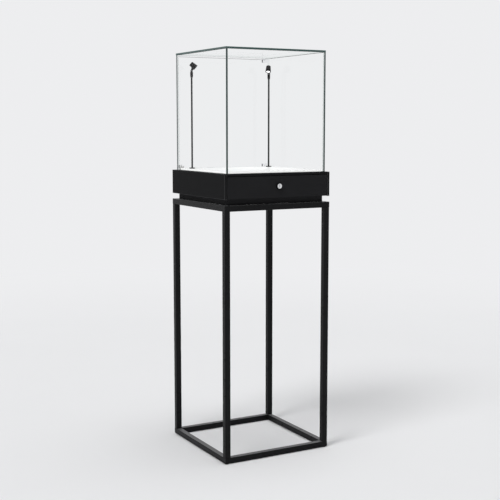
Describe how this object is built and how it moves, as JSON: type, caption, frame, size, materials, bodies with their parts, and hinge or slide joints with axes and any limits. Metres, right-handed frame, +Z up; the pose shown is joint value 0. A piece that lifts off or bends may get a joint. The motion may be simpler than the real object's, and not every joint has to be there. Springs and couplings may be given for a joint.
{
  "type": "pedestal display case",
  "caption": "Free-standing display case: a lit glass case with a rear door over a lockable drawer, on an open black frame of square steel tube.",
  "frame": {"origin": "on the floor, at the middle of the frame's footprint", "axes": "+Z up; -Y is the front with drawer and lock; +Y is the back with the glass door; +X is to the right seen from the front"},
  "size_m": [0.41, 0.426, 1.398],
  "materials": {
    "frame_coat": "black satin powder coat",
    "case_board": "fibreboard, black satin lacquer",
    "drawer_board": "fibreboard, dark matt foil",
    "deck_white": "white satin laminate",
    "glass": "clear float glass, polished edges",
    "chrome": "bright chrome plate",
    "steel": "zinc-plated steel",
    "lamp_black": "black anodised, satin",
    "lens": "clear polycarbonate, lit",
    "light_board": "white board with a phosphor chip",
    "black_plastic": "black moulded plastic",
    "white_plastic": "white moulded plastic"
  },
  "bodies": {
    "cabinet": {"leg_front_left": "frame_coat", "leg_front_right": "frame_coat", "leg_back_left": "frame_coat", "leg_back_right": "frame_coat", "bottom_rails": "frame_coat", "top_rails": "frame_coat", "floor_glides": "black_plastic", "corner_plates": "frame_coat", "plinth": "case_board", "case_floor": "case_board", "case_side_left": "case_board", "case_side_right": "case_board", "case_back": "case_board", "case_top": "case_board", "deck": "deck_white", "glass_front": "glass", "glass_left": "glass", "glass_right": "glass", "glass_roof": "glass", "pivot_plates": "chrome", "pivot_washer": "white_plastic", "door_catch": "white_plastic", "lamp_feet": "lamp_black", "lamp_stem_left": "lamp_black", "lamp_stem_right": "lamp_black", "locknuts": "steel", "lamp_leads": "black_plastic", "runner_outer": "steel", "lock_strike": "frame_coat", "lamp_driver": "black_plastic", "power_inlet": "black_plastic", "case_screws": "steel"},
    "drawer": {"drawer_front": "case_board", "drawer_side_left": "drawer_board", "drawer_side_right": "drawer_board", "drawer_back": "drawer_board", "drawer_floor": "drawer_board", "runner_inner": "steel", "drawer_screws": "steel", "lock_body": "chrome", "lock_nut": "steel"},
    "runner_slides": {"runner_middle": "steel"},
    "lock": {"lock_plug": "chrome", "lock_cam": "steel"},
    "door": {"glass_door": "glass", "pivot_clamp_upper": "chrome", "pivot_clamp_lower": "chrome", "door_strike": "chrome"},
    "swivel_left": {"lamp_sleeve_left": "lamp_black", "lamp_pin_left": "steel"},
    "swivel_right": {"lamp_sleeve_right": "lamp_black", "lamp_pin_right": "steel"},
    "spot_left": {"lamp_head_left": "lamp_black", "lamp_bezel_left": "lamp_black", "lamp_lens_left": "lens", "lamp_led_left": "light_board"},
    "spot_right": {"lamp_head_right": "lamp_black", "lamp_bezel_right": "lamp_black", "lamp_lens_right": "lens", "lamp_led_right": "light_board"}
  },
  "joints": [
    {"name": "drawer_slide", "type": "slide", "parent": "cabinet", "child": "drawer", "axis": [0, -1, 0], "range_m": [0, 0.25]},
    {"name": "runner_slide", "type": "slide", "parent": "cabinet", "child": "runner_slides", "axis": [0, -1, 0], "range_m": [0, 0.125]},
    {"name": "lock_turn", "type": "hinge", "parent": "drawer", "child": "lock", "pos_m": [0, -0.205, 0.94], "axis": [0, 1, 0], "range_deg": [0, 90]},
    {"name": "door_hinge", "type": "hinge", "parent": "cabinet", "child": "door", "pos_m": [0.1715, 0.19, 1.188], "axis": [0, 0, -1], "range_deg": [0, 110]},
    {"name": "lamp_left_pan", "type": "hinge", "parent": "cabinet", "child": "swivel_left", "pos_m": [-0.158, 0.137, 1.336], "axis": [0, 0, 1], "range_deg": [-160, 160]},
    {"name": "lamp_left_tilt", "type": "hinge", "parent": "swivel_left", "child": "spot_left", "pos_m": [-0.158, 0.137, 1.336], "axis": [0.4529, 0.8916, 0], "range_deg": [-40, 43]},
    {"name": "lamp_right_pan", "type": "hinge", "parent": "cabinet", "child": "swivel_right", "pos_m": [0.158, 0.137, 1.336], "axis": [0, 0, 1], "range_deg": [-160, 160]},
    {"name": "lamp_right_tilt", "type": "hinge", "parent": "swivel_right", "child": "spot_right", "pos_m": [0.158, 0.137, 1.336], "axis": [0.7872, -0.6166, 0], "range_deg": [-66, 17]}
  ],
  "couplings": [
    {"joint": "runner_slide", "follows": "drawer_slide", "ratio": 0.5}
  ]
}
